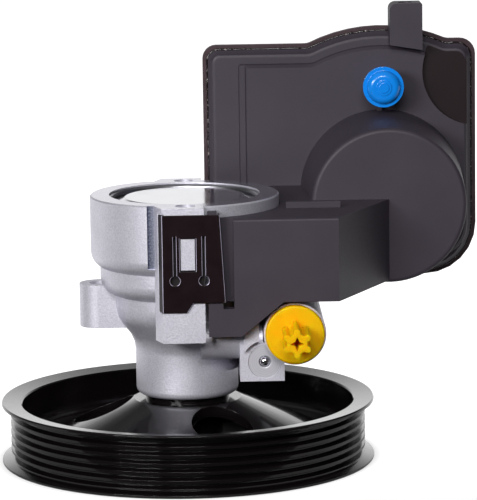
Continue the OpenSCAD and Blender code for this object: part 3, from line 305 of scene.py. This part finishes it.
# Outlet's transport plug
# Soft yellow polyethylene, moulded in one piece: a stem that sits in the fitting, a round flange and a
# ribbed grip with a hollow end. The thin ribs let a little light through.
yellow_plastic, tree, where, shader = new_finish("moulded_yellow_polyethylene")
yellow_flow = 5 * MM
flow = put(tree, "ShaderNodeTexNoise", {"Vector": where["Object"], "Scale": 1 / yellow_flow, "Detail": 2.0})
tone = put(tree, "ShaderNodeMix", {"Factor": flow.outputs["Fac"], "A": linear("#ffad00"),
                                   "B": linear("#ffb800")}, data_type="RGBA")
rough = put(tree, "ShaderNodeMapRange", {"Value": flow.outputs["Fac"], "To Min": 0.36, "To Max": 0.5})
feed(shader, {"Base Color": tone.outputs["Result"], "Roughness": rough.outputs["Result"], "IOR": 1.5,
              "Specular IOR Level": 0.15, "Subsurface Weight": 0.8, "Subsurface Radius": (1.0, 0.45, 0.05),
              "Subsurface Scale": 9 * MM})
eased("outlet_plug", 0.35 * MM, yellow_plastic, "pump")

# Pulley
# Turned steel with six belt grooves, pressed onto the shaft. The black electrocoat is glossy and
# slightly wavy, and it is thin enough to keep every edge.
pulley_black, tree, where, shader = new_finish("gloss_black_electrocoat")
ripple_size = 1.6 * MM
dust_size = 7 * MM
ripple = put(tree, "ShaderNodeTexNoise", {"Vector": where["Object"], "Scale": 1 / ripple_size, "Detail": 1.0})
dust = put(tree, "ShaderNodeTexNoise", {"Vector": where["Object"], "Scale": 1 / dust_size, "Detail": 4.0})
rough = put(tree, "ShaderNodeMapRange", {"Value": dust.outputs["Fac"], "To Min": 0.16, "To Max": 0.26})
bump = put(tree, "ShaderNodeBump", {"Height": ripple.outputs["Fac"], "Strength": 0.03, "Distance": 0.05 * MM})
feed(shader, {"Base Color": linear("#0b0809"), "Roughness": rough.outputs["Result"], "IOR": 1.52,
              "Specular IOR Level": 0.12, "Coat Weight": 1.0, "Coat Roughness": 0.1,
              "Normal": bump.outputs["Normal"]})
wheel = eased("pulley", 0.3 * MM, pulley_black, "rotor", segments=3)
# A turned face is round, so its normals lie in the planes through the axis and shade without facets.
# Across the narrow strips of an eased edge they swing from one wide face to the next, which draws a thin
# line of light there.
wheel.modifiers.clear()
widest_strip = 1.2 * MM ** 2
turned_share = 0.99


# How far a face leans outward from the pulley's axis and upward along it.
def lean(face):
    outward = Vector((face.center.x, face.center.y, 0)).normalized()
    return Vector((face.normal.dot(outward), face.normal.z))


turned_faces = [face for face in wheel.data.polygons if lean(face).length_squared > turned_share]
point_leans = [Vector((0, 0)) for point in wheel.data.vertices]
for face in turned_faces:
    for point in face.vertices:
        point_leans[point] += face.area * lean(face)
turned_normals = [Vector(normal.vector) for normal in wheel.data.corner_normals]
for face in turned_faces:
    for corner, point in zip(face.loop_indices, face.vertices):
        place = wheel.data.vertices[point].co
        outward, upward = lean(face) if face.area > widest_strip else point_leans[point].normalized()
        turned_normals[corner] = Vector((place.x, place.y, 0)).normalized() * outward + Vector((0, 0, upward))
wheel.data.normals_split_custom_set(turned_normals)

# Reservoir
# Two shells of glass-filled black nylon, moulded and hot-plate welded along the lip that runs round the
# tank, with a ring seal on the spigot in the housing. The front mould was spark-eroded to a matt grain.
seam_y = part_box("reservoir_front")[1].y
black_nylon, tree, where, shader = new_finish("spark_grained_black_nylon")
# The grain is about 0.2 mm. It is drawn at 0.6 mm to show in the picture.
grain_size = 0.6 * MM
front_flow = 22 * MM
grain = put(tree, "ShaderNodeTexNoise", {"Vector": where["Object"], "Scale": 1 / grain_size, "Detail": 3.0})
flow = put(tree, "ShaderNodeTexNoise", {"Vector": where["Object"], "Scale": 1 / front_flow, "Detail": 4.0})
tone = put(tree, "ShaderNodeMix", {"Factor": flow.outputs["Fac"], "A": linear("#2d2730"),
                                   "B": linear("#3a333d")}, data_type="RGBA")
rough = put(tree, "ShaderNodeMapRange", {"Value": grain.outputs["Fac"], "To Min": 0.45, "To Max": 0.65})
bump = put(tree, "ShaderNodeBump", {"Height": grain.outputs["Fac"], "Strength": 0.15, "Distance": 0.08 * MM})
# The round pocket at the upper right corner, sunk into the panel, is drawn darker, browner and smoother than
# the panel.
pocket_centre = (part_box("reservoir_rear")[1].x, 0.0, 159.3 * MM)
pocket_r = 24.2 * MM
pocket_front_y = seam_y - 7.7 * MM
pocket_back_y = seam_y - 4.8 * MM
flattened = put(tree, "ShaderNodeVectorMath", {0: where["Object"], 1: (1.0, 0.0, 1.0)}, operation="MULTIPLY")
reach = put(tree, "ShaderNodeVectorMath", {0: flattened.outputs["Vector"], 1: pocket_centre},
            operation="DISTANCE")
near = put(tree, "ShaderNodeMath", {0: reach.outputs["Value"], 1: pocket_r}, operation="LESS_THAN")
spot = put(tree, "ShaderNodeSeparateXYZ", {"Vector": where["Object"]}).outputs
sunk = put(tree, "ShaderNodeMath", {0: spot["Y"], 1: pocket_front_y}, operation="GREATER_THAN")
before_lip = put(tree, "ShaderNodeMath", {0: spot["Y"], 1: pocket_back_y}, operation="LESS_THAN")
in_depth = put(tree, "ShaderNodeMath", {0: sunk.outputs[0], 1: before_lip.outputs[0]}, operation="MULTIPLY")
sunk_pocket = put(tree, "ShaderNodeMath", {0: near.outputs[0], 1: in_depth.outputs[0]}, operation="MULTIPLY")
shade = put(tree, "ShaderNodeMix", {"Factor": sunk_pocket.outputs[0], "A": tone.outputs["Result"],
                                    "B": linear("#1d1316")}, data_type="RGBA")
sheen = put(tree, "ShaderNodeMix", {"Factor": sunk_pocket.outputs[0], "A": rough.outputs["Result"], "B": 0.35})
feed(shader, {"Base Color": shade.outputs["Result"], "Roughness": sheen.outputs[0], "IOR": 1.53,
              "Specular IOR Level": 0.35, "Normal": bump.outputs["Normal"]})
eased("reservoir_front", 0.35 * MM, black_nylon, "pump")

# The rear shell comes out of another mould, smoother and a little browner.
brown_nylon, tree, where, shader = new_finish("smooth_brown_black_nylon")
rear_flow = 9 * MM
flow = put(tree, "ShaderNodeTexNoise", {"Vector": where["Object"], "Scale": 1 / rear_flow, "Detail": 4.0})
tone = put(tree, "ShaderNodeMix", {"Factor": flow.outputs["Fac"], "A": linear("#2c1d21"),
                                   "B": linear("#3d2b31")}, data_type="RGBA")
rough = put(tree, "ShaderNodeMapRange", {"Value": flow.outputs["Fac"], "To Min": 0.34, "To Max": 0.5})
feed(shader, {"Base Color": tone.outputs["Result"], "Roughness": rough.outputs["Result"], "IOR": 1.53,
              "Specular IOR Level": 0.4})
eased("reservoir_rear", 0.35 * MM, brown_nylon, "pump")
coat(rubber, "inlet_seal")

# Weld flash
# The hot-plate weld squeezes out a lumpy bead of melt, which lies in the corner between the front shell's
# lip and the wider lip of the rear shell. The melt froze quickly and is glossy.
flash_r = 0.7 * MM
flash_step = 0.7 * MM
flash_sides = 6
flash_y = seam_y - 0.5 * MM
fine_lump = 1.4 * MM
long_lump = 6 * MM
backward = Vector((0, 1, 0))
section = bmesh.new()
section.from_mesh(nodes["reservoir_front"].data)
bmesh.ops.remove_doubles(section, verts=section.verts, dist=same_point)
sliced = bmesh.ops.bisect_plane(section, geom=section.verts[:] + section.edges[:] + section.faces[:],
                                dist=0.001 * MM, plane_co=(0, flash_y, 0), plane_no=backward,
                                clear_inner=True, clear_outer=True)
# The slice's edges are chained to closed outlines. The widest one is the outside of the lip.
loose = [e for e in sliced["geom_cut"] if isinstance(e, bmesh.types.BMEdge)]
outlines = []
while loose:
    edge = loose.pop()
    chain = list(edge.verts)
    while edge:
        edge = next((e for e in chain[-1].link_edges if e in loose), None)
        if edge:
            loose.remove(edge)
            chain.append(edge.other_vert(chain[-1]))
    outlines.append([v.co.copy() for v in chain])
section.free()
outline = max(outlines, key=lambda points: max(p.x for p in points) - min(p.x for p in points))
track = []
for start, end in zip(outline, outline[1:]):
    count = max(1, round((end - start).length / flash_step))
    track += [start.lerp(end, i / count) for i in range(count)]
track_centre = sum(track, Vector()) / len(track)
first_aside = (track[2] - track[-2]).cross(backward)
out_sign = math.copysign(1, first_aside.dot(track[0] - track_centre))
turns = [2 * math.pi * k / flash_sides for k in range(flash_sides)]
# The bead grows and shrinks with two noises, and its centre lies half its radius outside the lip.
bead = bmesh.new()
rings = []
for i, place in enumerate(track):
    aside = (track[(i + 2) % len(track)] - track[i - 2]).normalized().cross(backward)
    lumps = 0.6 * abs(noise.noise(place / fine_lump)) + 0.3 * abs(noise.noise(place / long_lump))
    bead_r = flash_r * (0.55 + lumps)
    bead_centre = place + 0.5 * bead_r * out_sign * aside
    rings.append([bead.verts.new(bead_centre + bead_r * (math.cos(a) * aside + math.sin(a) * backward))
                  for a in turns])
for ring, following in zip(rings, rings[1:] + rings[:1]):
    for k in range(flash_sides):
        bead.faces.new((ring[k], ring[k - 1], following[k - 1], following[k])).smooth = True
bmesh.ops.recalc_face_normals(bead, faces=bead.faces)
melt, tree, where, shader = new_finish("frozen_nylon_melt")
# Pale flecks of about half a millimetre on the dark melt are painted glints. They are drawn from a noise of 1
# mm to show in the picture.
fleck_size = 1.0 * MM
stretch = put(tree, "ShaderNodeTexNoise", {"Vector": where["Object"], "Scale": 1 / fleck_size, "Detail": 2.0})
pale = put(tree, "ShaderNodeMapRange", {"Value": stretch.outputs["Fac"], "From Min": 0.6, "From Max": 0.7})
tone = put(tree, "ShaderNodeMix", {"Factor": pale.outputs["Result"], "A": linear("#150c0e"),
                                   "B": linear("#857c78")}, data_type="RGBA")
feed(shader, {"Base Color": tone.outputs["Result"], "Roughness": 0.2, "IOR": 1.53})
weld_flash = new_piece("weld_flash", bead, melt)
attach(weld_flash, "pump")

# Return stub's transport cap
# Blue polyethylene, a thin moulded thimble pushed over the hose stub, with steps on its rounded end.
# The mould was polished, so the cap is glossy.
blue_plastic, tree, where, shader = new_finish("moulded_blue_polyethylene")
blue_flow = 4 * MM
flow = put(tree, "ShaderNodeTexNoise", {"Vector": where["Object"], "Scale": 1 / blue_flow, "Detail": 2.0})
tone = put(tree, "ShaderNodeMix", {"Factor": flow.outputs["Fac"], "A": linear("#0878d4"),
                                   "B": linear("#0d82e0")}, data_type="RGBA")
feed(shader, {"Base Color": tone.outputs["Result"], "Roughness": 0.2, "IOR": 1.5})
eased("return_cap", 0.3 * MM, blue_plastic, "pump")

# Filler cap
# A moulded bayonet cap of the front shell's black nylon, with finger grips, on the back of the tank.
# It has a dipstick under it and closes on a flat rubber seal.
eased("filler_cap", 0.5 * MM, black_nylon, "cap")
coat(rubber, "cap_seal")

# Retaining clips
# Spring steel sheet, folded along both sides, hardened and blackened. A clip slides down over a column
# and a rail of the reservoir, and its tongue snaps into place.
clip_black, tree, where, shader = new_finish("blackened_spring_steel")
film_size = 6 * MM
film = put(tree, "ShaderNodeTexNoise", {"Vector": where["Object"], "Scale": 1 / film_size, "Detail": 3.0})
tone = put(tree, "ShaderNodeMix", {"Factor": film.outputs["Fac"], "A": linear("#120b0d"),
                                   "B": linear("#1f1518")}, data_type="RGBA")
rough = put(tree, "ShaderNodeMapRange", {"Value": film.outputs["Fac"], "To Min": 0.26, "To Max": 0.38})
# Along the folds and cut edges, which run up and down, a pale steel tone is painted where the normals turn
# half sideways: a painted highlight.
facing = put(tree, "ShaderNodeSeparateXYZ", {"Vector": where["Normal"]}).outputs
sideways = put(tree, "ShaderNodeMath", {0: facing["X"]}, operation="ABSOLUTE")
turned_out = put(tree, "ShaderNodeMath", {0: sideways.outputs[0], 1: 0.55, 2: 0.28}, operation="COMPARE")
across = put(tree, "ShaderNodeMath", {0: facing["Y"]}, operation="ABSOLUTE")
fold = put(tree, "ShaderNodeMath", {0: across.outputs[0], 1: 0.45}, operation="GREATER_THAN")
painted_fold_highlight = put(tree, "ShaderNodeMath", {0: turned_out.outputs[0], 1: fold.outputs[0]}, operation="MULTIPLY")
tone_with_painted_highlight = put(tree, "ShaderNodeMix", {"Factor": painted_fold_highlight.outputs[0], "A": tone.outputs["Result"],
                                   "B": linear("#cfc9e0")}, data_type="RGBA")
metal = put(tree, "ShaderNodeMath", {0: painted_fold_highlight.outputs[0], 1: 0.35}, operation="MULTIPLY")
feed(shader, {"Base Color": tone_with_painted_highlight.outputs["Result"], "Roughness": rough.outputs["Result"],
              "Metallic": metal.outputs[0], "IOR": 1.5, "Specular IOR Level": 0.1})
for clip in ("front_clip", "rear_clip"):
    eased(clip, 0.42 * MM, clip_black, "pump", segments=3)

# Studio
# A white backdrop behind the pump, a dark room with a dim ceiling around the camera, and a paper floor that
# keeps the shadow. Soft lamps stand at the front left, above the camera and at the rear right.
world = bpy.data.worlds.new("white_backdrop")
bpy.context.scene.world = world
world.use_nodes = True
tree = world.node_tree
tree.nodes.clear()
toward = put(tree, "ShaderNodeTexCoord").outputs
aim = put(tree, "ShaderNodeSeparateXYZ", {"Vector": toward["Generated"]}).outputs
# The backdrop fades out to both sides and upward. The camera sees white all round.
behind = put(tree, "ShaderNodeMapRange", {"Value": aim["Y"], "From Min": 0.58, "From Max": 0.94,
                                          "To Min": 0.04, "To Max": 1.0}, interpolation_type="SMOOTHSTEP")
low = put(tree, "ShaderNodeMapRange", {"Value": aim["Z"], "From Min": 0.2, "From Max": 0.55,
                                       "To Min": 1.0, "To Max": 0.14}, interpolation_type="SMOOTHSTEP")
backdrop = put(tree, "ShaderNodeMath", {0: behind.outputs["Result"], 1: low.outputs["Result"]},
               operation="MULTIPLY")
ceiling = put(tree, "ShaderNodeMapRange", {"Value": aim["Z"], "From Min": 0.4, "From Max": 0.8,
                                           "To Min": 0.0, "To Max": 0.2}, interpolation_type="SMOOTHSTEP")
room = put(tree, "ShaderNodeMath", {0: backdrop.outputs[0], 1: ceiling.outputs["Result"]},
           operation="MAXIMUM")
rays = put(tree, "ShaderNodeLightPath").outputs
white = put(tree, "ShaderNodeMath", {0: rays["Is Camera Ray"], 1: room.outputs[0]}, operation="MAXIMUM")
inside = put(tree, "ShaderNodeBackground", {"Color": (1, 1, 1, 1), "Strength": white.outputs[0]})
put(tree, "ShaderNodeOutputWorld", {"Surface": inside.outputs[0]})

# The floor is matt paper, which glows white where the camera or a bright face of the pump sees it.
pulley_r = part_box("pulley")[1].x
paper, tree, where, shader = new_finish("pale_paper")
feed(shader, {"Base Color": linear("#a4a4a4"), "Roughness": 0.9})
rays = put(tree, "ShaderNodeLightPath").outputs
mirrored = put(tree, "ShaderNodeMath", {0: rays["Is Glossy Ray"], 1: rays["Is Transmission Ray"]},
               operation="MAXIMUM")
# What the pump mirrors of the paper is the part behind it.
spot = put(tree, "ShaderNodeSeparateXYZ", {"Vector": where["Object"]}).outputs
behind = put(tree, "ShaderNodeMapRange", {"Value": spot["Y"], "From Min": 30 * MM, "From Max": 150 * MM})
far = put(tree, "ShaderNodeMath", {0: mirrored.outputs[0], 1: behind.outputs["Result"]}, operation="MULTIPLY")
shown = put(tree, "ShaderNodeMath", {0: rays["Is Camera Ray"], 1: far.outputs[0]}, operation="MAXIMUM")
# Under the pulley the paper's glow is taken away: a painted shadow.
radius = put(tree, "ShaderNodeVectorMath", {0: where["Object"]}, operation="LENGTH")
glow_outside_painted_shadow = put(tree, "ShaderNodeMapRange", {"Value": radius.outputs["Value"], "From Min": pulley_r - 8 * MM,
                                       "From Max": pulley_r + 6 * MM})
glow = put(tree, "ShaderNodeEmission", {"Color": (1, 1, 1, 1), "Strength": glow_outside_painted_shadow.outputs["Result"]})
both = put(tree, "ShaderNodeAddShader", {0: shader.outputs["BSDF"], 1: glow.outputs[0]})
seen = put(tree, "ShaderNodeMixShader", {0: shown.outputs[0], 1: shader.outputs["BSDF"], 2: both.outputs[0]})
feed(tree.nodes["Material Output"], {"Surface": seen.outputs[0]})

# The paper ends in front of the pulley, so the black parts mirror the dark room and not the floor.
floor_size = 6.0
floor_front_y = -pulley_r - 5 * MM
sheet = bmesh.new()
bmesh.ops.create_grid(sheet, x_segments=1, y_segments=1, size=floor_size / 2)
bmesh.ops.translate(sheet, verts=sheet.verts, vec=(0, floor_front_y + floor_size / 2, 0))
floor = new_piece("floor", sheet, paper)

lamp_target = Vector((0.02, 0.0, 0.09))


def soft_lamp(name, place, width, height, power):
    lamp = bpy.data.lights.new(name, "AREA")
    lamp.shape = "RECTANGLE"
    lamp.size = width
    lamp.size_y = height
    lamp.energy = power
    holder = bpy.data.objects.new(name, lamp)
    turn = (lamp_target - place).to_track_quat("-Z", "Y").to_matrix().to_4x4()
    holder.matrix_world = Matrix.Translation(place) @ turn
    bpy.context.scene.collection.objects.link(holder)
    return holder


soft_lamp("key", Vector((-0.68, -1.05, 0.5)), width=0.6, height=0.24, power=13.0)
soft_lamp("front", Vector((-0.02, -1.2, 0.75)), width=0.5, height=0.4, power=10.5)
# The lamp at the rear right only fills the far sides, and nothing mirrors it.
fill = soft_lamp("fill", Vector((0.85, 1.0, 0.55)), width=0.6, height=0.5, power=12.0)
fill.visible_glossy = False

# Camera
# The view of the photograph: a long lens, a little above the pulley's rim and rolled by under a degree.
# It stands about a metre and a half from the pump. The sensor spans the picture's height.
azimuth = math.radians(-1.25)
elevation = math.radians(9.29)
roll = math.radians(-0.82)
distance = 1.453
aim_x = 0.02275
aim_z = 0.08975
frame_h_px = 500
focal_px = 3400
sensor_mm = 36.0
lens = bpy.data.cameras.new("photo_lens")
lens.sensor_width = sensor_mm
lens.lens = focal_px / frame_h_px * sensor_mm
lens.clip_start = 0.05
lens.clip_end = 20
camera = bpy.data.objects.new("photo_camera", lens)
level_right = Vector((math.cos(azimuth), math.sin(azimuth), 0))
level_back = Vector((math.sin(azimuth), -math.cos(azimuth), 0))
back = math.cos(elevation) * level_back + math.sin(elevation) * Vector((0, 0, 1))
right = math.cos(roll) * level_right + math.sin(roll) * back.cross(level_right)
turned = Matrix((right, back.cross(right), back)).transposed().to_4x4()
aim_point = aim_x * level_right + aim_z * Vector((0, 0, 1))
camera.matrix_world = Matrix.Translation(aim_point + back * distance) @ turned
bpy.context.scene.collection.objects.link(camera)
bpy.context.scene.camera = camera
bpy.context.scene.view_settings.view_transform = "Standard"
